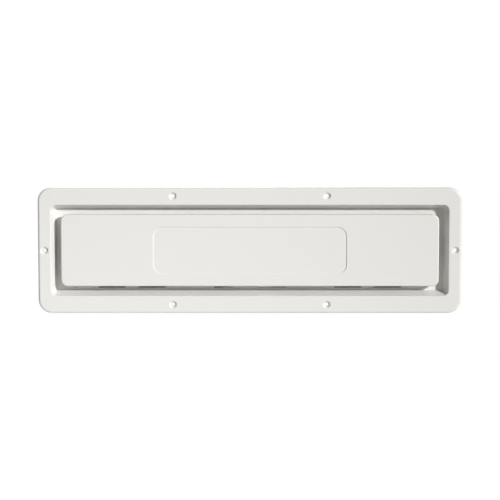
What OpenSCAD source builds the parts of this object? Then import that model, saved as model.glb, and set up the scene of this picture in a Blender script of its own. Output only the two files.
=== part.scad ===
// Flush dorade vent for a boat's side: a flanged trough with a clip-on front panel,
// and behind it a water trap box whose air leaves through a 76 mm hose collar.
// The modules are drawn face up: x along the vent, y up the hull, z out of the hull.
// face_up() then turns them into the part's frame: X along, Z up, front towards -Y.
// The origin is the centre of the cut-out in the plane of the hull's outer skin.

/* [Front panel] */
// Length of the panel
panel_length = 420; // [400:1:450]
// Height of the panel
panel_height = 80; // [76:1:90]
// Corner radius of the panel
panel_corner = 7.5; // [6:0.5:9]
// Thickness of the panel's face
panel_thick = 2.5; // [2.5:0.5:3]
// Depth of the skirt round the panel, from the face
skirt_depth = 7; // [6:0.5:8]
// Rounding of the panel's front edge
panel_round = 1.8; // [1:0.2:2]
// Length of the plain recess in the panel's face
badge_length = 215; // [180:5:230]
// Height of the plain recess
badge_height = 52; // [40:2:56]
// Corner radius of the plain recess
badge_corner = 10; // [6:1:14]
// Depth of the plain recess
badge_depth = 0.7; // [0.5:0.1:0.9]

/* [Trough] */
// Gap from the panel's edge to the edge of the opening, all round
panel_gap = 11.5; // [10:0.5:14]
// Rounding from the flange's face into the trough
lip_round = 1; // [0.5:0.25:2]
// Depth of the trough below the flange's face
trough_depth = 16; // [15:1:20]
// Lean of the trough's walls, in degrees
trough_draft = 18; // [8:1:20]
// Corner radius of the trough's floor
foot_corner = 1; // [1:0.5:6]
// Rounding between the trough's walls and its floor
foot_round = 0.5; // [0.3:0.1:0.5]
// Wall of the trough and its floor
trough_wall = 2.5; // [2:0.5:3]

/* [Flange] */
// Width of the flange beyond each end of the opening
flange_end = 13.5; // [13:0.5:20]
// Width of the flange above and below the opening
flange_side = 18.5; // [17.5:0.5:26]
// Thickness of the flange
flange_thick = 4; // [3.5:0.5:5]
// Corner radius of the flange
flange_corner = 15; // [12:1:20]
// Rounding of the flange's outer edge
rim_round = 2.5; // [1:0.5:2.5]
// Thickness of the gasket between the flange and the hull
gasket_thick = 2; // [1:0.5:3]

/* [Mounting screws] */
// Clear hole for a 4.2 mm screw
screw_hole_d = 4.4; // [4.2:0.1:4.8]
// Countersink for the screw's head
countersink_d = 8.6; // [8:0.1:8.8]
// Distance along the vent between the holes in the long edges
screw_spacing = 171; // [150:1:200]
// Distance of each hole from the flange's long edge
long_edge_inset = 9.5; // [9:0.5:10]
// Distance of each end hole from the flange's end
end_inset = 7; // [7:0.5:7.5]

/* [Water trap box] */
// Depth of the box behind its seal
box_depth = 64; // [56:1:80]
// Wall of the box
box_wall = 2.5; // [2:0.5:3]
// Height of the baffles above the box's bottom wall
baffle_height = 50; // [44:1:54]
// Thickness of a baffle
baffle_thick = 2.5; // [2:0.5:3]

/* [Hose collar] */
// Outside diameter, for the hose's bore
collar_d = 76; // [70:1:80]
// Wall of the collar
collar_wall = 2.5; // [2:0.5:3]
// Length of the collar behind its plate
collar_length = 40; // [30:1:60]
// How far the pipe stands forward of its plate, inside the box
standpipe = 29; // [20:1:34]

/* [Hidden] */
$fn = 96;
// Slip between pieces that slide together
fit = 0.2;
// Overshoot of a cutting tool, so that no skin is left
over = 1;

// Outline of the opening and of the flange, out from the panel
opening_length = panel_length + 2 * panel_gap;
opening_height = panel_height + 2 * panel_gap;
flange_length = opening_length + 2 * flange_end;
flange_height = opening_height + 2 * flange_side;

// Levels, from the front to the back
face_z = gasket_thick + flange_thick;
floor_z = face_z - trough_depth;
back_z = floor_z - trough_wall;
seal_thick = 1.5;
box_front_z = back_z - seal_thick;
box_back_z = box_front_z - box_depth;
rear_wall_z = box_back_z + box_wall;
skirt_z = face_z - skirt_depth;
panel_back_z = face_z - panel_thick;

// The trough's walls lean in by wall_reach on their way down. The opening's corners are
// rounder than the floor's by that much, rounded up to a tenth of a millimetre.
lip_z = face_z - lip_round;
wall_reach = lip_round / cos(trough_draft) + (lip_z - floor_z) * tan(trough_draft);
opening_corner = ceil(10 * (foot_corner + wall_reach)) / 10;
foot_r = opening_corner - wall_reach;
wall_out = trough_wall / cos(trough_draft);

// Corner centres of the flange and of the trough
flange_cx = flange_length / 2 - flange_corner;
flange_cy = flange_height / 2 - flange_corner;
trough_cx = opening_length / 2 - opening_corner;
trough_cy = opening_height / 2 - opening_corner;

// The hull's cut-out, and the gasket's window over it, follow the opening with this margin,
// which lets the trough's walls through. The box slips through the same cut-out.
cutout_margin = 1.5;
box_inset = 6;
box_corner = 8;
box_half_x = opening_length / 2 - box_inset;
box_half_y = opening_height / 2 - box_inset;
box_cx = box_half_x - box_corner;
box_cy = box_half_y - box_corner;
box_in_r = box_corner - box_wall;
box_in_x = box_half_x - box_wall;
box_in_y = box_half_y - box_wall;
box_lip = 1;
box_foot = 3;
box_back_round = 4;

// Rim on the trough's back that the box slips over
spigot_thick = 2.3;
spigot_length = 9.5;
spigot_r = box_in_r - fit;
spigot_back_z = back_z - spigot_length;

// Hose collar, its plate and the plate's screws
collar_r = collar_d / 2;
collar_plate = 3.5;
collar_plate_margin = 5;
collar_plate_half = collar_r + collar_plate_margin;
collar_plate_corner = 6;
collar_root = 2;
collar_chamfer = 1;
collar_seal = 1.5;
collar_slip = 0.5;
collar_screw_inset = 6;
collar_screw = collar_plate_half - collar_screw_inset;
collar_boss_r = 4;
collar_boss = 10;
collar_pilot = 8;
collar_pilot_z = rear_wall_z + collar_pilot;
COLLAR_SCREWS = [for (sx = [-1, 1], sy = [-1, 1]) [sx * collar_screw, sy * collar_screw]];
collar_seal_z = box_back_z - collar_seal;
collar_plate_z = collar_seal_z - collar_plate;

// Baffles, one on each side of the collar, and the channels that hold them
baffle_gap = 22;
baffle_x = collar_r + baffle_gap;
baffle_lip = 8;
baffle_top = -box_in_y + baffle_height;
channel_rib = 2;
channel_deep = 5;

// Posts that carry the box: at its ends, and just outside the baffles
post_r = 4.5;
post_inset_x = 9;
post_inset_y = 8;
post_from_baffle = 11;
post_x = box_in_x - post_inset_x;
post_y = box_in_y - post_inset_y;
post_mid_x = baffle_x + post_from_baffle;
web_thick = 2;
web_reach = 14;
POSTS = [for (sx = [-1, 1], x = [post_x, post_mid_x], sy = [-1, 1]) [sx * x, sy * post_y]];
pilot_r = 1.5;
pilot_depth = 14;

// Clips that hold the panel: sockets in the trough's bosses, studs in the panel's
clip_inset = 13;
clip_corner_inset = 18;
clip_x = panel_length / 2 - clip_inset;
clip_y = panel_height / 2 - clip_corner_inset;
clip_mid_y = panel_height / 2 - clip_inset;
CLIPS = [[-clip_x, clip_y], [-clip_x, -clip_y], [0, clip_mid_y],
         [0, -clip_mid_y], [clip_x, clip_y], [clip_x, -clip_y]];
stud_boss_r = 4.5;
stud_boss_set = 1;
stud_boss_z = skirt_z + stud_boss_set;
stud_root_r = 1.8;
stud_shank_r = 1.9;
stud_head_r = 2.5;
stud_collar_r = 3.4;
stud_collar = 3;
stud_cap = 1;
stud_root_z = face_z - badge_depth - stud_cap;
socket_z = stud_boss_z - stud_collar;
socket_flange = 1;
socket_flange_r = 5.5;
socket_boss_r = 7;
socket_boss_z = socket_z - socket_flange;
socket_r = 4;
socket_bore_r = 2.7;
socket_seat = 1.5;
socket_bottom_z = floor_z - socket_seat;
socket_slot = 0.9;
stud_tip_gap = 0.5;
stud_head_z = socket_bottom_z + stud_head_r + stud_tip_gap;

// Intake windows in the trough's floor, each with a dam round it
dam_thick = 2.2;
dam_height = 8;
skirt_thick = 2.2;
drain_length = 30;
drain_height = 6.5;
window_corner = 4;
window_from_baffle = 22;
dam_end_gap = 5.8;
dam_top_gap = 5.6;
dam_bottom_gap = 8.3;
window_in = baffle_x + window_from_baffle;
window_out = clip_x - socket_boss_r - dam_thick - dam_end_gap;
window_top = panel_height / 2 - skirt_thick - dam_thick - dam_top_gap;
window_bottom = -box_in_y + drain_height + dam_thick + dam_bottom_gap;
window_length = window_out - window_in;
window_height = window_top - window_bottom;
window_x = (window_in + window_out) / 2;
window_y = (window_top + window_bottom) / 2;

// Drains level with the box's bottom wall, two for each chamber
drain_spread = 22.5;
drain_mid_x = 25;
DRAINS = concat([-drain_mid_x, drain_mid_x],
                [for (side = [-1, 1], s = [-1, 1]) side * window_x + s * drain_spread]);

// Screens over the windows, each held by two screws in bosses of the trough
screen_thick = 1.5;
screen_border = 4;
screen_bar = 1.2;
screen_pitch = 4;
screen_rows = 4;
screen_lug_r = 5;
screen_slip = 0.3;
screen_lug_reach = 7;
screen_screw_x = window_length / 2 + screen_lug_reach;
screen_boss_r = 3.5;
screen_boss = 6;
screen_boss_cap = 1.2;
screen_boss_z = floor_z + screen_boss;
small_pilot_r = 1.2;
small_pilot_z = screen_boss_z - screen_boss_cap;
SCREEN_SCREWS = [for (side = [-1, 1], s = [-1, 1])
                 [side * window_x + s * screen_screw_x, window_y]];

// Ribs behind the panel's recess, and on the box's rear wall
panel_rib = 1.8;
panel_rib_gap_x = 20;
panel_rib_gap_y = 13;
panel_rib_x = window_in - panel_rib_gap_x;
panel_rib_y = clip_mid_y - panel_rib_gap_y;
rear_rib = 2;
rear_rib_high = 3;
rear_rib_pitch = 32;
rear_rib_gap = 16;
rear_rib_first = post_mid_x + rear_rib_gap;
rear_ribs = floor((post_x - rear_rib_first - rear_rib_gap) / rear_rib_pitch);

// Mounting holes: four in the long edges, one at each end
long_edge_y = flange_height / 2 - long_edge_inset;
end_x = flange_length / 2 - end_inset;
HULL_SCREWS = [[-screw_spacing / 2, long_edge_y], [screw_spacing / 2, long_edge_y],
               [-screw_spacing / 2, -long_edge_y], [screw_spacing / 2, -long_edge_y],
               [-end_x, 0], [end_x, 0]];
gasket_inset = 3;

// Pan head screws of the inner assembly
head_r = 3.3;
head_high = 2.2;
small_head_r = 2.4;
small_head_high = 1.6;
tip_gap = 2;
small_tip_gap = 1;
recess_wide = 0.8;
shank_slip = 0.4;

plastic = "#f1f0eb";
rubber = "#2b2c2d";
acetal = "#e4e2d8";
steel = "#b9bcbf";

// Turns a module that is drawn face up into the part's frame
module face_up() {
  rotate([90, 0, 0]) children();
}

// Rounded rectangle about the origin
module round_rect(half_x, half_y, r) {
  square([2 * half_x, 2 * (half_y - r)], center = true);
  square([2 * (half_x - r), 2 * half_y], center = true);
  for (sx = [-1, 1], sy = [-1, 1])
    translate([sx * (half_x - r), sy * (half_y - r)])
      circle(r);
}

// Flat plate of a rounded rectangle from z0 up to z1
module round_plate(half_x, half_y, r, z0, z1) {
  translate([0, 0, z0])
    linear_extrude(z1 - z0)
      round_rect(half_x, half_y, r);
}

// What a rounding of radius r takes off a corner that lies at [r, r]
module corner_waste(r) {
  difference() {
    square(r + over);
    circle(r);
  }
}

// Sweeps a profile, x outwards and y up, round corner centres at [cx, cy]
module ring(cx, cy) {
  for (i = [0:3]) {
    side = i % 2 == 0 ? cx : cy;
    along = i % 2 == 0 ? cy : cx;
    rotate(90 * i) {
      translate([side, along, 0])
        rotate_extrude(angle = 90)
          children();
      translate([side, along, 0])
        rotate([90, 0, 0])
          linear_extrude(2 * along)
            children();
    }
  }
}

// The same sweep with its middle filled from z0 up to z1
module block(cx, cy, z0, z1) {
  ring(cx, cy) children();
  translate([-cx, -cy, z0])
    cube([2 * cx, 2 * cy, z1 - z0]);
}

// Upright round bar from z0 up to z1
module bar(at, r, z0, z1, facets = 48) {
  translate([at[0], at[1], z0])
    cylinder(r = r, h = z1 - z0, $fn = facets);
}

module flange_profile() {
  difference() {
    translate([0, gasket_thick])
      square([flange_corner, flange_thick]);
    translate([flange_corner - rim_round, face_z - rim_round])
      corner_waste(rim_round);
  }
}

// Leaning wall, at a distance out from the trough's inner face
function trough_wall_r(z, out) = foot_r + (z - floor_z) * tan(trough_draft) + out;

module trough_shell_profile() {
  top = gasket_thick + flange_thick / 2;
  polygon([[0, back_z], [trough_wall_r(back_z, wall_out), back_z],
           [trough_wall_r(top, wall_out), top], [0, top]]);
}

// Inside of the trough. Each straight side ends a hair inside the arc that it meets,
// so that the two cross cleanly.
module trough_cavity_profile() {
  hair = 0.01;
  lean = trough_draft;
  foot_c = [foot_r + foot_round * (tan(lean) - 1 / cos(lean)), floor_z + foot_round];
  foot_end = foot_c + (foot_round - hair) * [cos(lean), -sin(lean)];
  lip_c = [opening_corner, lip_z];
  lip_end = lip_c - (lip_round - hair) * [cos(lean), -sin(lean)];
  difference() {
    union() {
      polygon([[0, floor_z], [foot_c[0], floor_z], foot_end, lip_end, [lip_c[0], lip_end[1]],
               [lip_c[0], face_z + over], [0, face_z + over]]);
      translate(foot_c)
        circle(foot_round);
    }
    translate(lip_c)
      circle(lip_round);
  }
}

module trough() {
  difference() {
    union() {
      block(flange_cx, flange_cy, gasket_thick, face_z)
        flange_profile();
      block(trough_cx, trough_cy, back_z, gasket_thick + flange_thick / 2)
        trough_shell_profile();
    }
    block(trough_cx, trough_cy, floor_z, face_z + over)
      trough_cavity_profile();
  }
}

// Rim behind the trough that the box slips over
module spigot() {
  ring(box_cx, box_cy)
    translate([spigot_r - spigot_thick, spigot_back_z])
      square([spigot_thick, spigot_length + trough_wall / 2]);
}

// Post that carries the box. The web at its root runs along the box at the ends,
// and across it beside the baffles.
module post(at) {
  turn = abs(at[0]) < post_x ? -90 * sign(at[1]) : (at[0] > 0 ? 180 : 0);
  bar(at, post_r, rear_wall_z, back_z + trough_wall / 2);
  translate([at[0], at[1], 0])
    rotate(turn)
      translate([0, web_thick / 2, 0])
        rotate([90, 0, 0])
          linear_extrude(web_thick)
            polygon([[0, back_z + over], [web_reach, back_z + over],
                     [post_r, spigot_back_z], [0, spigot_back_z]]);
}

// Upstand round a window, in front of the trough's floor
module dam(side) {
  translate([side * window_x, window_y, 0])
    round_plate(window_length / 2 + dam_thick, window_height / 2 + dam_thick,
                window_corner + dam_thick, floor_z - over, floor_z + dam_height);
}

module window_cut(side) {
  translate([side * window_x, window_y, 0])
    round_plate(window_length / 2, window_height / 2, window_corner,
                back_z - over, floor_z + dam_height + over);
}

// Drain through the floor and the spigot, level with the box's bottom wall
module drain_cut(x) {
  translate([x - drain_length / 2, -box_in_y, spigot_back_z - over])
    cube([drain_length, drain_height, trough_wall + spigot_length + 2 * over]);
}

// Pair of ribs that hold a baffle's front edge
module front_channel(side) {
  low = -box_in_y + fit + spigot_thick;
  for (s = [-1, 1])
    translate([side * baffle_x + s * (baffle_thick / 2 + fit / 2) - (s < 0 ? channel_rib : 0),
               low - over, back_z - channel_deep])
      cube([channel_rib, baffle_top - low + over, channel_deep + over]);
}

module countersunk_hole(at) {
  deep = (countersink_d - screw_hole_d) / 2;
  bar(at, screw_hole_d / 2, gasket_thick - over, face_z + over);
  translate([at[0], at[1], face_z - deep])
    cylinder(r1 = screw_hole_d / 2, r2 = countersink_d / 2, h = deep, $fn = 48);
  bar(at, countersink_d / 2, face_z, face_z + over);
}

module front_frame() color(plastic) face_up() {
  difference() {
    union() {
      trough();
      spigot();
      for (p = POSTS) post(p);
      for (side = [-1, 1]) dam(side);
      for (side = [-1, 1]) front_channel(side);
      for (c = CLIPS) bar(c, socket_boss_r, floor_z - over, socket_boss_z);
      for (s = SCREEN_SCREWS) bar(s, screen_boss_r, floor_z - over, screen_boss_z);
    }
    for (side = [-1, 1]) window_cut(side);
    for (x = DRAINS) drain_cut(x);
    for (p = POSTS) bar(p, pilot_r, rear_wall_z - over, rear_wall_z + pilot_depth);
    for (c = CLIPS) bar(c, socket_r, socket_bottom_z, socket_boss_z + over);
    for (s = SCREEN_SCREWS) bar(s, small_pilot_r, back_z - over, small_pilot_z);
    for (h = HULL_SCREWS) countersunk_hole(h);
  }
}

module hull_gasket() color(rubber) face_up() {
  difference() {
    round_plate(flange_length / 2 - gasket_inset, flange_height / 2 - gasket_inset,
                flange_corner - gasket_inset, 0, gasket_thick);
    round_plate(opening_length / 2 + cutout_margin, opening_height / 2 + cutout_margin,
                opening_corner + cutout_margin, -over, gasket_thick + over);
    for (h = HULL_SCREWS) bar(h, screw_hole_d / 2, -over, gasket_thick + over);
  }
}

module panel_edge_profile() {
  difference() {
    translate([0, panel_back_z])
      square([panel_corner, panel_thick]);
    translate([panel_corner - panel_round, face_z - panel_round])
      corner_waste(panel_round);
  }
}

module panel_skirt_profile() {
  translate([panel_corner - skirt_thick, skirt_z])
    square([skirt_thick, skirt_depth - panel_thick + over / 2]);
}

module front_panel() color(plastic) face_up() {
  cx = panel_length / 2 - panel_corner;
  cy = panel_height / 2 - panel_corner;
  difference() {
    union() {
      block(cx, cy, panel_back_z, face_z)
        panel_edge_profile();
      ring(cx, cy)
        panel_skirt_profile();
      for (c = CLIPS) bar(c, stud_boss_r, stud_boss_z, panel_back_z + over);
      for (y = [-panel_rib_y, panel_rib_y])
        translate([-panel_rib_x, y - panel_rib / 2, skirt_z])
          cube([2 * panel_rib_x, panel_rib, skirt_depth - panel_thick + over]);
      for (x = [-panel_rib_x, 0, panel_rib_x])
        translate([x - panel_rib / 2, -panel_rib_y, skirt_z])
          cube([panel_rib, 2 * panel_rib_y, skirt_depth - panel_thick + over]);
    }
    round_plate(badge_length / 2, badge_height / 2, badge_corner,
                face_z - badge_depth, face_z + over);
    for (c = CLIPS) bar(c, stud_root_r, stud_boss_z - over, stud_root_z);
  }
}

// Stud i: root in the panel's boss, collar that stops on the socket, shank and ball head
module panel_stud(i) color(acetal) face_up() {
  translate([CLIPS[i][0], CLIPS[i][1], 0])
    rotate_extrude($fn = 48) {
      translate([0, stud_boss_z]) square([stud_root_r, stud_root_z - stud_boss_z]);
      translate([0, socket_z]) square([stud_collar_r, stud_boss_z - socket_z]);
      translate([0, stud_head_z]) square([stud_shank_r, socket_z - stud_head_z]);
      intersection() {
        translate([0, stud_head_z]) circle(stud_head_r, $fn = 48);
        translate([0, stud_head_z - stud_head_r]) square(2 * stud_head_r);
      }
    }
}

// Socket i: flanged bush pressed into its boss, slotted so that its sides can spring
module clip_socket(i) color(acetal) face_up() {
  difference() {
    union() {
      bar(CLIPS[i], socket_flange_r, socket_boss_z, socket_z);
      bar(CLIPS[i], socket_r, socket_bottom_z, socket_boss_z + socket_flange / 2);
    }
    bar(CLIPS[i], socket_bore_r, socket_bottom_z - over, socket_z + over);
    for (turn = [0, 90])
      translate([CLIPS[i][0], CLIPS[i][1], 0])
        rotate(turn)
          translate([-socket_r - over, -socket_slot / 2, socket_bottom_z - over])
            cube([2 * (socket_r + over), socket_slot, socket_boss_z - socket_bottom_z]);
  }
}

module box_outside_profile() {
  difference() {
    union() {
      translate([0, box_back_z]) square([box_corner, box_depth]);
      translate([0, box_front_z - box_foot]) square([box_corner + box_lip, box_foot]);
    }
    translate([box_corner - box_back_round, box_back_z + box_back_round])
      mirror([0, 1]) corner_waste(box_back_round);
  }
}

module box_inside_profile() {
  r = box_back_round - box_wall;
  difference() {
    translate([0, rear_wall_z]) square([box_in_r, box_depth - box_wall + over]);
    translate([box_in_r - r, rear_wall_z + r])
      mirror([0, 1]) corner_waste(r);
  }
}

// Ribs on the box's bottom and rear walls that hold a baffle
module box_channel(side) {
  for (s = [-1, 1]) {
    x = side * baffle_x + s * (baffle_thick / 2 + fit / 2) - (s < 0 ? channel_rib : 0);
    translate([x, -box_in_y - over / 2, rear_wall_z - over / 2])
      cube([channel_rib, channel_deep + over / 2, spigot_back_z - seal_thick - rear_wall_z]);
    translate([x, -box_in_y - over / 2, rear_wall_z - over / 2])
      cube([channel_rib, baffle_height + over / 2, channel_deep + over / 2]);
  }
}

// Stiffening rib on the outside of the rear wall, with its ends at 45 degrees
module rear_rib_bar(at, length, turn) {
  half = length / 2;
  translate([at[0], at[1], 0])
    rotate(turn)
      translate([0, rear_rib / 2, 0])
        rotate([90, 0, 0])
          linear_extrude(rear_rib)
            polygon([[-half, box_back_z + over], [-half, box_back_z],
                     [rear_rib_high - half, box_back_z - rear_rib_high],
                     [half - rear_rib_high, box_back_z - rear_rib_high],
                     [half, box_back_z], [half, box_back_z + over]]);
}

module rear_ribbing(side) {
  start = collar_plate_half + rear_rib_high;
  stop = box_cx - rear_rib_high;
  rear_rib_bar([side * (start + stop) / 2, 0], stop - start, 0);
  for (k = [0:rear_ribs])
    rear_rib_bar([side * (rear_rib_first + k * rear_rib_pitch), 0],
                 2 * (box_half_y - box_back_round), 90);
}

module rear_box() color(plastic) face_up() {
  difference() {
    union() {
      difference() {
        block(box_cx, box_cy, box_back_z, box_front_z)
          box_outside_profile();
        block(box_cx, box_cy, rear_wall_z, box_front_z + over)
          box_inside_profile();
      }
      for (side = [-1, 1]) box_channel(side);
      for (side = [-1, 1]) rear_ribbing(side);
      for (p = COLLAR_SCREWS) bar(p, collar_boss_r, box_back_z + over, rear_wall_z + collar_boss);
    }
    bar([0, 0], collar_r + collar_slip, box_back_z - over, rear_wall_z + over, 96);
    for (p = COLLAR_SCREWS) bar(p, pilot_r, box_back_z - over, collar_pilot_z);
    for (p = POSTS) bar(p, pilot_r + shank_slip, box_back_z - over, rear_wall_z + over);
  }
}

module box_seal() color(rubber) face_up() {
  translate([0, 0, box_front_z])
    linear_extrude(seal_thick)
      difference() {
        round_rect(box_cx + box_corner + box_lip, box_cy + box_corner + box_lip,
                   box_corner + box_lip);
        round_rect(box_in_x, box_in_y, box_in_r);
      }
}

// Cross recess pan head screw, drawn with its head under z and its shank forward of it
module pan_screw(at, z, shank_r, tip_z, head, high) {
  translate([at[0], at[1], z]) {
    difference() {
      rotate_extrude($fn = 48)
        difference() {
          translate([0, -high]) square([head, high]);
          translate([head - high * 0.6, -high * 0.4]) mirror([0, 1]) corner_waste(high * 0.6);
        }
      for (turn = [0, 90])
        rotate(turn)
          translate([-head * 0.55, -recess_wide / 2, -high - over])
            cube([head * 1.1, recess_wide, high * 0.6 + over]);
    }
    translate([0, 0, -high / 4])
      cylinder(r = shank_r, h = tip_z - z + high / 4, $fn = 48);
  }
}

module box_screws() color(steel) face_up() {
  tip = rear_wall_z + pilot_depth - tip_gap;
  for (p = POSTS) pan_screw(p, box_back_z, pilot_r, tip, head_r, head_high);
}

module collar_screws() color(steel) face_up() {
  tip = collar_pilot_z - tip_gap;
  for (p = COLLAR_SCREWS) pan_screw(p, collar_plate_z, pilot_r, tip, head_r, head_high);
}

module screen_screws() color(steel) face_up() {
  seat = back_z - screen_thick;
  tip = small_pilot_z - small_tip_gap;
  for (p = SCREEN_SCREWS)
    pan_screw(p, seat, small_pilot_r, tip, small_head_r, small_head_high);
}

// Slotted screen over one window, with a lug and a screw at each end
module intake_screen(side) color(plastic) face_up() {
  half_x = window_length / 2 + screen_border;
  half_y = window_height / 2 + screen_border;
  open = screen_pitch - screen_bar;
  columns = floor((window_length - open) / screen_pitch);
  row = window_height / screen_rows;
  translate([side * window_x, window_y, 0])
    difference() {
      union() {
        round_plate(half_x, half_y, window_corner, back_z - screen_thick, back_z);
        for (s = [-1, 1])
          bar([s * screen_screw_x, 0], screen_lug_r, back_z - screen_thick, back_z);
      }
      for (c = [0:columns], r = [0:screen_rows - 1])
        translate([(c - columns / 2) * screen_pitch - open / 2,
                   (r - screen_rows / 2) * row + screen_bar / 2, back_z - screen_thick - over])
          cube([open, row - screen_bar, screen_thick + 2 * over]);
      for (s = [-1, 1])
        bar([s * screen_screw_x, 0], small_pilot_r + screen_slip,
            back_z - screen_thick - over, back_z + over);
    }
}

// Side view of a baffle, notched for the spigot and rounded for the box's rear corner
module baffle_outline() {
  r = box_back_round - box_wall + fit;
  difference() {
    translate([-box_in_y, rear_wall_z])
      square([baffle_height, back_z - rear_wall_z]);
    translate([-box_in_y - over, spigot_back_z - fit])
      square([spigot_thick + 2 * fit + over, spigot_length + fit + over]);
    translate([r - box_in_y, rear_wall_z + r])
      rotate(180) corner_waste(r);
  }
}

// Dorade baffle: stands on the box's bottom wall, its top lip turned towards the window
module baffle(side) color(plastic) face_up() {
  lip_back_z = rear_wall_z + channel_deep + fit;
  translate([side * baffle_x - baffle_thick / 2, 0, 0])
    rotate([90, 0, 90])
      linear_extrude(baffle_thick)
        baffle_outline();
  translate([side * (baffle_x + baffle_lip / 2) - baffle_lip / 2,
             baffle_top - baffle_thick, lip_back_z])
    cube([baffle_lip, baffle_thick, back_z - channel_deep - fit - lip_back_z]);
}

// Collar: a plate, the pipe through it, and a sloped root where the hose stops
module hose_collar() color(plastic) face_up() {
  front = collar_plate_z + collar_plate + standpipe;
  rear = collar_plate_z - collar_length;
  root_r = collar_r + collar_root;
  inside_plate_z = collar_plate_z + collar_plate / 2;
  difference() {
    union() {
      round_plate(collar_plate_half, collar_plate_half, collar_plate_corner,
                  collar_plate_z, collar_plate_z + collar_plate);
      rotate_extrude()
        polygon([[0, rear], [collar_r - collar_chamfer, rear], [collar_r, rear + collar_chamfer],
                 [collar_r, collar_plate_z - collar_root], [root_r, collar_plate_z],
                 [root_r, inside_plate_z], [collar_r, inside_plate_z],
                 [collar_r, front - collar_chamfer / 2],
                 [collar_r - collar_chamfer / 2, front], [0, front]]);
    }
    bar([0, 0], collar_r - collar_wall, rear - over, front + over, 96);
    for (p = COLLAR_SCREWS)
      bar(p, pilot_r + shank_slip, collar_plate_z - over, collar_plate_z + collar_plate + over);
  }
}

module collar_gasket() color(rubber) face_up() {
  difference() {
    round_plate(collar_plate_half, collar_plate_half, collar_plate_corner,
                collar_seal_z, box_back_z);
    bar([0, 0], collar_r + collar_slip, collar_seal_z - over, box_back_z + over, 96);
    for (p = COLLAR_SCREWS)
      bar(p, pilot_r + shank_slip, collar_seal_z - over, box_back_z + over);
  }
}

front_frame();
hull_gasket();
front_panel();
rear_box();
box_seal();
box_screws();
intake_screen(-1);  // intake_screen_left
intake_screen(1);  // intake_screen_right
screen_screws();
baffle(-1);  // baffle_left
baffle(1);  // baffle_right
hose_collar();
collar_gasket();
collar_screws();
for (i = [0:5]) {
  panel_stud(i);
  clip_socket(i);
}
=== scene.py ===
# %% [markdown]
# # A low profile dorade vent
# A dorade vent lets air into a boat and keeps spray out. This one is set into the
# hull's side: a flat cover panel floats over a trough, and air turns round the
# panel's edges, through two windows and over a pair of baffles to a hose collar.
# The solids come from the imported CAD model, so this script only gives them light,
# finishes and the small turned parts that a CAD model keeps plain.

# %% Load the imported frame
import math

import bmesh
import bpy
from mathutils import Matrix, Vector


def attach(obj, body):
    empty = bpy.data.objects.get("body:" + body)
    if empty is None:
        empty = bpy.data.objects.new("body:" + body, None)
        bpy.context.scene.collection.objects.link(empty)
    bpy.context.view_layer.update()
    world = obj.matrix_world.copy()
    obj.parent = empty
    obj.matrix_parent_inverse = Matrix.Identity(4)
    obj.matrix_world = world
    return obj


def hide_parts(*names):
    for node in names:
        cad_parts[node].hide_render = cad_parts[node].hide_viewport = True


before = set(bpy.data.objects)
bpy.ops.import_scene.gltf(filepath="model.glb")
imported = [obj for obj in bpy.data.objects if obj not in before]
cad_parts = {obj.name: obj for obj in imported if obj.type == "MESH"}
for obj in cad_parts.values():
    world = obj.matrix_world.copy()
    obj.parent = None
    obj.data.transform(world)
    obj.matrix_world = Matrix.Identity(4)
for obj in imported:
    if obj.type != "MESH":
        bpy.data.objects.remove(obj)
bpy.context.view_layer.update()
scene = bpy.context.scene

# %% [markdown]
# ## Camera
# A product picture like this is shot with a long lens, so that the flange's edges
# stay nearly parallel. The top edge is a little wider than the bottom one, which
# puts the camera slightly above the vent. The lens follows from the distance and
# from the share of the picture's width that the flange takes up.

# %% Camera
FACE_CENTRE = Vector((0.0, -0.006, 0.0))
CAMERA_DISTANCE = 1.9
CAMERA_ELEVATION = math.radians(5.25)
FLANGE_LENGTH = 0.47
FLANGE_SHARE = 0.8475
SENSOR_WIDTH = 36
LENS_SHIFT = (0.0003, 0.0012)


def look_from(thing, place, target):
    """Puts a camera or lamp at a place, turned to a target."""
    thing.location = place
    thing.rotation_mode = "QUATERNION"
    thing.rotation_quaternion = (target - place).to_track_quat("-Z", "Y")
    scene.collection.objects.link(thing)


lens = bpy.data.cameras.new("photo_lens")
lens.sensor_width = SENSOR_WIDTH
lens.lens = SENSOR_WIDTH * FLANGE_SHARE * CAMERA_DISTANCE / FLANGE_LENGTH
lens.shift_x, lens.shift_y = LENS_SHIFT
camera = bpy.data.objects.new("photo_camera", lens)
toward_camera = Vector((0, -math.cos(CAMERA_ELEVATION), math.sin(CAMERA_ELEVATION)))
look_from(camera, FACE_CENTRE + CAMERA_DISTANCE * toward_camera, FACE_CENTRE)
scene.camera = camera
scene.view_settings.view_transform = "Standard"
print("Lens in mm:", round(lens.lens, 1))

# %% [markdown]
# ## Node helpers
# Every finish below is a small node tree. Two helpers keep the cells short: one adds
# a node and fills its sockets, the other starts a shader group with named sockets.


# %% Node helpers
def add(tree, kind, sockets=None, **settings):
    """Adds a node. A socket is given a value, or the output that feeds it."""
    made = tree.nodes.new("ShaderNode" + kind)
    for name, value in settings.items():
        setattr(made, name, value)
    for name, value in (sockets or {}).items():
        if isinstance(value, bpy.types.NodeSocket):
            tree.links.new(value, made.inputs[name])
        else:
            made.inputs[name].default_value = value
    return made


def blend_of(tree, kind, factor, first, second):
    """Mixes two colours or two values, and returns the result's socket."""
    at = {"RGBA": (6, 7, 2), "FLOAT": (2, 3, 0)}[kind]
    made = add(tree, "Mix", {0: factor, at[0]: first, at[1]: second}, data_type=kind)
    return made.outputs[at[2]]


def shader_group(name, inputs, outputs):
    """A group with named inputs, (kind, value), and outputs, and its two end nodes."""
    group = bpy.data.node_groups.new(name, "ShaderNodeTree")
    for side, sockets in (("INPUT", inputs), ("OUTPUT", outputs)):
        for label, kind, *value in sockets:
            made = group.interface.new_socket(
                label, in_out=side, socket_type="NodeSocket" + kind
            )
            if value:
                made.default_value = value[0]
    return group, group.nodes.new("NodeGroupInput"), group.nodes.new("NodeGroupOutput")


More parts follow.
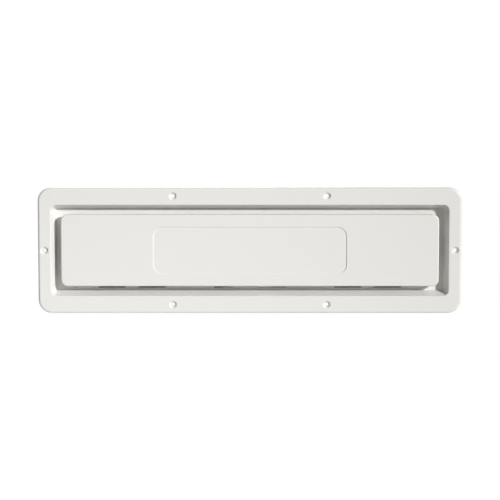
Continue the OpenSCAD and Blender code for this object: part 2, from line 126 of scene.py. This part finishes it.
# %% [markdown]
# ## Light
# The picture has one fairly small, far lamp to the right and above, which draws the
# panel's shadow in the slot at its left and below it, and leaves the trough's right
# wall dark. It is aimed past the vent's lower left corner, so that the right end gets
# a little less. A softbox behind and above lights the box and the collar, which only
# other views show. The world adds a little light from all round. Only the camera,
# glossy and transmitted rays see the world as white, so the backdrop is white
# without lighting the vent.

# %% World
WHITE = (1, 1, 1, 1)
AMBIENT = 0.06


def white_for_seen_rays(tree):
    """1 for the rays that show a backdrop: camera, glossy and transmitted ones."""
    path = add(tree, "LightPath").outputs
    seen = path["Is Camera Ray"]
    for other in ("Is Glossy Ray", "Is Transmission Ray"):
        seen = add(tree, "Math", {0: seen, 1: path[other]}, operation="MAXIMUM")
        seen = seen.outputs[0]
    return seen


world = bpy.data.worlds.new("studio")
world.use_nodes = True
world_tree = world.node_tree
world_tree.nodes.clear()
soft_grey = add(world_tree, "Background", {"Color": WHITE, "Strength": AMBIENT})
backdrop = add(world_tree, "Background", {"Color": WHITE, "Strength": 1.0})
seen = white_for_seen_rays(world_tree)
chosen = add(
    world_tree, "MixShader", {0: seen, 1: soft_grey.outputs[0], 2: backdrop.outputs[0]}
)
add(world_tree, "OutputWorld", {"Surface": chosen.outputs[0]})
scene.world = world


# %% Lamps
def lamp(name, toward, distance, power, size, aim=(0, 0, 0), spread=180):
    """An area lamp at a distance from the vent's face. Its aim is beside the centre,
    and its spread is the angle of its beam in degrees."""
    data = bpy.data.lights.new(name, "AREA")
    data.energy = power
    data.shape = "RECTANGLE"
    data.size, data.size_y = size
    data.spread = math.radians(spread)
    thing = bpy.data.objects.new(name, data)
    thing.visible_camera = False
    place = FACE_CENTRE + distance * Vector(toward).normalized()
    look_from(thing, place, FACE_CENTRE + Vector(aim))
    return thing


key = lamp(
    "key_lamp", toward=(0.85, -1, 0.44), distance=7.0, power=7.9, size=(0.5, 0.5),
    aim=(-0.3, 0, -0.15), spread=22,
)
rear = lamp(
    "rear_softbox", toward=(-0.25, 0.8, 0.6), distance=1.6, power=16, size=(1.1, 0.8)
)
print("Lamps:", key.name, rear.name)

# %% [markdown]
# ## Floor
# The floor lies well below the vent, so that its soft shadow falls out of the
# picture. It is pale, and gets enough of its own white for the camera to run into
# the backdrop while a shadow still shows on it. From below it is see-through.

# %% Floor
FLOOR_Z = -0.36
FLOOR_HALF = 1.5
FLOOR_GREY = (0.8, 0.8, 0.8, 1)
FLOOR_GLOW = 0.88

floor_shape = bmesh.new()
bmesh.ops.create_grid(floor_shape, x_segments=1, y_segments=1, size=FLOOR_HALF)
bmesh.ops.translate(floor_shape, verts=floor_shape.verts, vec=(0, 0, FLOOR_Z))
floor_mesh = bpy.data.meshes.new("floor")
floor_shape.to_mesh(floor_mesh)
floor_shape.free()
floor = bpy.data.objects.new("floor", floor_mesh)
scene.collection.objects.link(floor)

floor_paint = bpy.data.materials.new("floor_paint")
floor_paint.use_nodes = True
floor_tree = floor_paint.node_tree
floor_tree.nodes.clear()
pale = add(floor_tree, "BsdfDiffuse", {"Color": FLOOR_GREY})
glow = add(
    floor_tree,
    "Emission",
    {
        "Color": WHITE,
        "Strength": add(
            floor_tree,
            "Math",
            {0: white_for_seen_rays(floor_tree), 1: FLOOR_GLOW},
            operation="MULTIPLY",
        ).outputs[0],
    },
)
lit = add(floor_tree, "AddShader", {0: pale.outputs[0], 1: glow.outputs[0]})
clear = add(floor_tree, "BsdfTransparent")
below = add(floor_tree, "NewGeometry").outputs["Backfacing"]
two_sided = add(
    floor_tree, "MixShader", {0: below, 1: lit.outputs[0], 2: clear.outputs[0]}
)
add(floor_tree, "OutputMaterial", {"Surface": two_sided.outputs[0]})
floor_mesh.materials.append(floor_paint)

# %% [markdown]
# ## Shared effects
# Moulded plastic is never one flat colour. It has a very fine spark-eroded grain from
# the mould, and slow changes in tint where it cooled at different rates. Its edges are
# drawn slightly rounder and shinier than the faces, and a little lighter in colour,
# which is a painted highlight along every edge. Each of these is a group that several
# finishes use with their own values.

# %% Edge group
# The mask marks the edges that the Bevel node rounds. The finishes use it for a lower
# roughness and for a lighter edge colour, which is a painted highlight.
edge_group, edge_in, edge_out = shader_group(
    "rounded_edge_highlight",
    [("Radius", "Float", 0.0006), ("Contrast", "Float", 3.0)],
    [("Mask", "Float"), ("Normal", "Vector")],
)
rounded = add(edge_group, "Bevel", {"Radius": edge_in.outputs["Radius"]}, samples=6)
flat_normal = add(edge_group, "NewGeometry").outputs["Normal"]
agreement = add(
    edge_group,
    "VectorMath",
    {0: rounded.outputs[0], 1: flat_normal},
    operation="DOT_PRODUCT",
)
turned = add(
    edge_group,
    "Math",
    {0: 1.0, 1: agreement.outputs["Value"]},
    operation="SUBTRACT",
)
strong = add(
    edge_group,
    "Math",
    {0: turned.outputs[0], 1: edge_in.outputs["Contrast"]},
    operation="MULTIPLY",
    use_clamp=True,
)
edge_group.links.new(strong.outputs[0], edge_out.inputs["Mask"])
edge_group.links.new(rounded.outputs[0], edge_out.inputs["Normal"])

# %% Grain group
CLOUD_SCALE = 9.0
FLOW_SCALE = 60.0
FLOW_SHARE = 0.35
GRAIN_HEIGHT = 0.00004

grain_group, grain_in, grain_out = shader_group(
    "moulded_grain",
    [
        ("Base", "Color", (0.8, 0.8, 0.8, 1)),
        ("Tint", "Color", (0.7, 0.7, 0.7, 1)),
        ("Tint Amount", "Float", 0.5),
        ("Grain Size", "Float", 900.0),
        ("Grain Depth", "Float", 0.2),
        ("Roughness", "Float", 0.35),
        ("Roughness Spread", "Float", 0.08),
        ("Normal", "Vector"),
    ],
    [("Color", "Color"), ("Roughness", "Float"), ("Normal", "Vector")],
)
place = add(grain_group, "TexCoord").outputs["Object"]
sockets = grain_in.outputs
cloud = add(
    grain_group, "TexNoise", {"Vector": place, "Scale": CLOUD_SCALE, "Detail": 3.0}
).outputs[0]
flow = add(
    grain_group, "TexNoise", {"Vector": place, "Scale": FLOW_SCALE, "Detail": 4.0}
).outputs[0]
fine = add(
    grain_group,
    "TexNoise",
    {"Vector": place, "Scale": sockets["Grain Size"], "Detail": 2.0},
).outputs[0]
slow = blend_of(grain_group, "FLOAT", FLOW_SHARE, cloud, flow)
amount = add(
    grain_group, "Math", {0: slow, 1: sockets["Tint Amount"]}, operation="MULTIPLY"
).outputs[0]
colour = blend_of(grain_group, "RGBA", amount, sockets["Base"], sockets["Tint"])
swing = add(
    grain_group, "Math", {0: blend_of(grain_group, "FLOAT", 0.5, slow, fine), 1: 0.5},
    operation="SUBTRACT",
).outputs[0]
rough = add(
    grain_group,
    "Math",
    {0: swing, 1: sockets["Roughness Spread"], 2: sockets["Roughness"]},
    operation="MULTIPLY_ADD",
    use_clamp=True,
).outputs[0]
raised = add(
    grain_group,
    "Bump",
    {
        "Strength": sockets["Grain Depth"],
        "Distance": GRAIN_HEIGHT,
        "Height": fine,
        "Normal": sockets["Normal"],
    },
).outputs[0]
for label, value in (("Color", colour), ("Roughness", rough), ("Normal", raised)):
    grain_group.links.new(value, grain_out.inputs[label])


# %% [markdown]
# ## Finishes
# The outside is a satin, weather-proof white plastic. The box behind it is a plainer
# white. Foam rubber seals the joints, the clips are unpigmented acetal, and the
# screws are stainless steel.


# %% Finishes
def finish(name, base, tint, grain, edge, **constants):
    """A Principled finish with grain, slow tint, softened edges and a painted highlight
    along its edges.
    """
    paint = bpy.data.materials.new(name)
    paint.use_nodes = True
    tree = paint.node_tree
    tree.nodes.clear()
    rim = add(tree, "Group", node_tree=edge_group)
    rim.inputs["Radius"].default_value = edge["radius"]
    rim.inputs["Contrast"].default_value = edge["contrast"]
    body = add(tree, "Group", node_tree=grain_group)
    for label, value in grain.items():
        body.inputs[label].default_value = value
    body.inputs["Base"].default_value = (*base, 1)
    body.inputs["Tint"].default_value = (*tint, 1)
    tree.links.new(rim.outputs["Normal"], body.inputs["Normal"])
    # Along the edges the base colour turns to the lighter edge colour: a painted
    # highlight.
    edge_highlight_colour = blend_of(
        tree, "RGBA", rim.outputs["Mask"], body.outputs["Color"], (*edge["colour"], 1)
    )
    sheen = blend_of(
        tree, "FLOAT", rim.outputs["Mask"], body.outputs["Roughness"], edge["roughness"]
    )
    shader = add(
        tree,
        "BsdfPrincipled",
        {"Base Color": edge_highlight_colour, "Roughness": sheen, "Normal": body.outputs["Normal"]},
    )
    for label, value in constants.items():
        shader.inputs[label.replace("_", " ")].default_value = value
    add(tree, "OutputMaterial", {"Surface": shader.outputs[0]})
    return paint


# Each finish's edge colour is lighter than its base: a painted highlight along the
# edges. The lower edge roughness is real shine.
FINISHES = {
    "white_asa": finish(
        "satin_white_asa",
        (0.86, 0.852, 0.82),
        (0.82, 0.81, 0.765),
        {"Tint Amount": 0.5, "Grain Size": 1400.0, "Grain Depth": 0.12,
         "Roughness": 0.34, "Roughness Spread": 0.10},
        {"radius": 0.0005, "contrast": 1.5, "colour": (0.875, 0.868, 0.84),
         "roughness": 0.26},
        IOR=1.49,
    ),
    "white_abs": finish(
        "plain_white_abs",
        (0.82, 0.81, 0.77),
        (0.78, 0.765, 0.71),
        {"Tint Amount": 0.6, "Grain Size": 1100.0, "Grain Depth": 0.2,
         "Roughness": 0.45, "Roughness Spread": 0.12},
        {"radius": 0.0005, "contrast": 1.5, "colour": (0.84, 0.83, 0.8),
         "roughness": 0.36},
        IOR=1.53,
    ),
    "black_rubber": finish(
        "foam_rubber",
        (0.03, 0.03, 0.032),
        (0.05, 0.05, 0.052),
        {"Tint Amount": 0.9, "Grain Size": 1500.0, "Grain Depth": 0.9,
         "Roughness": 0.78, "Roughness Spread": 0.2},
        {"radius": 0.0003, "contrast": 2.0, "colour": (0.07, 0.07, 0.072),
         "roughness": 0.7},
        IOR=1.5,
    ),
    "natural_acetal": finish(
        "unpigmented_acetal",
        (0.76, 0.74, 0.68),
        (0.72, 0.70, 0.63),
        {"Tint Amount": 0.5, "Grain Size": 1800.0, "Grain Depth": 0.06,
         "Roughness": 0.36, "Roughness Spread": 0.08},
        {"radius": 0.0002, "contrast": 1.5, "colour": (0.8, 0.78, 0.73),
         "roughness": 0.3},
        IOR=1.48,
    ),
    "stainless": finish(
        "stainless_steel",
        (0.62, 0.62, 0.63),
        (0.54, 0.54, 0.55),
        {"Tint Amount": 0.7, "Grain Size": 2600.0, "Grain Depth": 0.25,
         "Roughness": 0.27, "Roughness Spread": 0.18},
        {"radius": 0.00015, "contrast": 2.0, "colour": (0.72, 0.72, 0.73),
         "roughness": 0.2},
        Metallic=1.0,
    ),
}
print("Finishes:", sorted(FINISHES))

# %% Dress the CAD nodes
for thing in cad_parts.values():
    slot = thing.data.materials[0].name
    thing.data.materials[0] = FINISHES[slot]
print("Dressed:", len(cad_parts), "nodes")

# %% [markdown]
# ## Screws
# Eight screws hold the box on its posts, four hold the collar's plate and four the
# intake screens. On the real vent they are pan head screws for plastic, with a domed
# head, a cross recess and a coarse thread, which the CAD model keeps plain. The head
# could be a revolved profile with the recess cut out of it, but a cut leaves long thin
# faces round its rim. Here the head grows outwards from the recess: a small grid holds
# the cross, and ring after ring is extruded from its edge, over the dome and down the
# shank. The size and the place of each screw come from the solid that it stands for.

# %% Solids of a CAD node
def solids_of(node):
    """The lowest and the highest corner of each separate solid in a CAD node."""
    loose = bmesh.new()
    loose.from_mesh(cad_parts[node].data)
    bmesh.ops.remove_doubles(loose, verts=loose.verts, dist=1e-6)
    waiting, boxes = set(loose.verts), []
    while waiting:
        border, places = [waiting.pop()], []
        while border:
            vert = border.pop()
            places.append(vert.co.copy())
            near = {edge.other_vert(vert) for edge in vert.link_edges} & waiting
            waiting -= near
            border.extend(near)
        boxes.append([Vector(map(pick, zip(*places))) for pick in (min, max)])
    loose.free()
    return sorted(boxes, key=lambda box: tuple(box[0]))


for node in ("box_screws", "collar_screws", "screen_screws"):
    print(node, "has", len(solids_of(node)), "solids")

# %% Cross recess
RIM_SIDES = 5
FLAT_SHARE = 0.68
ARM_SHARE = 0.55
ARM_HALF_WIDTH = 0.0004
RECESS_SHARE = 0.6
RECESS_TAPER = 0.62
CORNER_PULL = 0.62


def recessed_top(shape, radius, high):
    """The head's flat top with its cross recess. Returns the edges of its rim.

    The extrude keeps the faces that it starts from, so they are deleted, or they
    would lie over the recess as a lid. The grid's inner corners are pulled in, to
    stay inside the round rim.
    """
    flat = FLAT_SHARE * radius
    arm = ARM_SHARE * radius
    lines = [-flat, -arm, -ARM_HALF_WIDTH, ARM_HALF_WIDTH, arm, flat]
    bmesh.ops.create_grid(shape, x_segments=RIM_SIDES, y_segments=RIM_SIDES, size=1)
    for vert in shape.verts:
        column, row = (round((v + 1) * RIM_SIDES / 2) for v in vert.co.xy)
        pull = CORNER_PULL if {column, row} <= {1, RIM_SIDES - 1} else 1
        vert.co = (pull * lines[column], pull * lines[row], high)
    cross = []
    for face in shape.faces:
        across, along = sorted(abs(v) for v in face.calc_center_median().xy)
        if across < ARM_HALF_WIDTH and along < arm:
            cross.append(face)
    sunk = bmesh.ops.extrude_face_region(shape, geom=cross)["geom"]
    floor_verts = [g for g in sunk if isinstance(g, bmesh.types.BMVert)]
    bmesh.ops.delete(shape, geom=cross, context="FACES")
    taper = Matrix.Diagonal((RECESS_TAPER, RECESS_TAPER, 1))
    bmesh.ops.transform(shape, matrix=taper.to_4x4(), verts=floor_verts)
    bmesh.ops.translate(shape, verts=floor_verts, vec=(0, 0, -RECESS_SHARE * high))
    rim = [edge for edge in shape.edges if edge.is_boundary]
    bmesh.ops.subdivide_edges(shape, edges=rim, cuts=1)
    rim = [edge for edge in shape.edges if edge.is_boundary]
    around = sorted({v for edge in rim for v in edge.verts},
                    key=lambda v: math.atan2(v.co.y, v.co.x))
    for index, vert in enumerate(around):
        angle = math.tau * (index + 0.5) / len(around) - math.pi
        vert.co = (flat * math.cos(angle), flat * math.sin(angle), high)
    return rim


# %% Rings
# Share of the head's radius and of its height, from the flat top down to the shank
DOME = [(0.80, 0.975), (0.90, 0.90), (0.965, 0.77), (0.995, 0.60), (1.0, 0.42),
        (1.0, 0.10), (0.97, 0.0)]


def grow(shape, rim, radius, height):
    """Extrudes a ring of edges to a radius and a height. Returns the new ring."""
    made = bmesh.ops.extrude_edge_only(shape, edges=rim)["geom"]
    fresh = {g for g in made if isinstance(g, bmesh.types.BMVert)}
    for vert in fresh:
        outward = vert.co.xy.normalized() * radius
        vert.co = (outward.x, outward.y, height)
    return [edge for edge in shape.edges if fresh.issuperset(edge.verts)]


# %% [markdown]
# ## Thread
# The thread of a screw for plastic is a thin ridge with wide gaps. It could be a
# bump in the material, but then it would be missing from the exported mesh. So a
# triangle is spun round the shank and sinks by one pitch in each turn. Its inner
# side runs a little way inside the shank, so that no gap shows between the two.

# %% Thread
CORE_SHARE = 0.74
ROOT_SHARE = 0.9
RIDGE_SHARE = 0.44
PITCH_SHARE = 0.9
TURN_STEPS = 16
TIP_LENGTH = 0.0012


def wind_thread(shape, outer, top, bottom):
    """Winds a ridge with a sharp crest round the shank, and closes both its ends."""
    pitch = PITCH_SHARE * outer
    root = ROOT_SHARE * CORE_SHARE * outer
    ridge = RIDGE_SHARE * pitch
    turns = int((top - bottom) / pitch)
    corners = [(root, 0, top), (outer, 0, top - ridge / 2), (root, 0, top - ridge)]
    verts = [shape.verts.new(corner) for corner in corners]
    edges = [shape.edges.new((verts[i - 1], verts[i])) for i in range(3)]
    wound = bmesh.ops.spin(
        shape, geom=verts + edges, cent=(0, 0, 0), axis=(0, 0, 1),
        dvec=(0, 0, -pitch / TURN_STEPS), angle=math.tau * turns,
        steps=TURN_STEPS * turns,
    )["geom_last"]
    last = [g for g in wound if isinstance(g, bmesh.types.BMEdge)]
    for end in (edges, last):
        bmesh.ops.contextual_create(shape, geom=end)


# %% Pan head screws
HEAD_HIGH_SHARE = 2 / 3
TIP_SHARE = 0.3
THREAD_START = -0.0005
TURN_BETWEEN = 2.4
SHARP_FROM = math.radians(38)
SCREWS = {"box_screws": 0.0015, "collar_screws": 0.0015, "screen_screws": 0.0012}


def pan_screw(radius, length, thread):
    """One screw: its head's underside lies at the origin, and its top faces +Z."""
    shape = bmesh.new()
    high = HEAD_HIGH_SHARE * radius
    rim = recessed_top(shape, radius, high)
    for wide, tall in DOME:
        rim = grow(shape, rim, wide * radius, tall * high)
    tip = high - length
    taper_start = tip + TIP_LENGTH
    for wide, height in ((CORE_SHARE, 0), (CORE_SHARE, taper_start), (TIP_SHARE, tip)):
        rim = grow(shape, rim, wide * thread, height)
    bmesh.ops.contextual_create(shape, geom=rim)
    wind_thread(shape, thread, THREAD_START, taper_start)
    bmesh.ops.recalc_face_normals(shape, faces=shape.faces)
    return shape


def by_place(vert):
    return tuple(vert.co)


def by_verts(part):
    return sorted(vert.index for vert in part.verts)


def settle(shape):
    """Sorts the vertices by place, and the edges and faces by their vertices. An
    extrude leaves them in an order that changes from one run to the next."""
    keys = ((shape.verts, by_place), (shape.edges, by_verts), (shape.faces, by_verts))
    for parts, key in keys:
        for index, part in enumerate(sorted(parts, key=key)):
            part.index = index
        parts.sort()


def screw_set(node, thread):
    """All screws of one CAD node, as one mesh that stands for it."""
    mesh = bpy.data.meshes.new("turned_" + node)
    together = bmesh.new()
    for index, (low, high) in enumerate(solids_of(node)):
        one = pan_screw((high.x - low.x) / 2, high.y - low.y, thread)
        seat = high.y - HEAD_HIGH_SHARE * (high.x - low.x) / 2
        centre = Vector(((low.x + high.x) / 2, seat, (low.z + high.z) / 2))
        face_back = Matrix.Rotation(-math.pi / 2, 4, "X")
        twist = Matrix.Rotation(TURN_BETWEEN * index, 4, "Z")
        one.transform(Matrix.Translation(centre) @ face_back @ twist)
        one.to_mesh(mesh)
        one.free()
        together.from_mesh(mesh)
    open_edges = sum(1 for edge in together.edges if not edge.is_manifold)
    settle(together)
    together.to_mesh(mesh)
    together.free()
    mesh.shade_smooth()
    mesh.set_sharp_from_angle(angle=SHARP_FROM)
    mesh.materials.append(FINISHES["stainless"])
    piece = bpy.data.objects.new("turned_" + node, mesh)
    scene.collection.objects.link(piece)
    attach(piece, "vent")
    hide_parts(node)
    print(piece.name, "has", len(mesh.polygons), "faces,", open_edges, "edges open")


for node, thread in SCREWS.items():
    screw_set(node, thread)

# %% [markdown]
# ## The end
# The view layer is brought up to date.

# %% Update the view layer
bpy.context.view_layer.update()
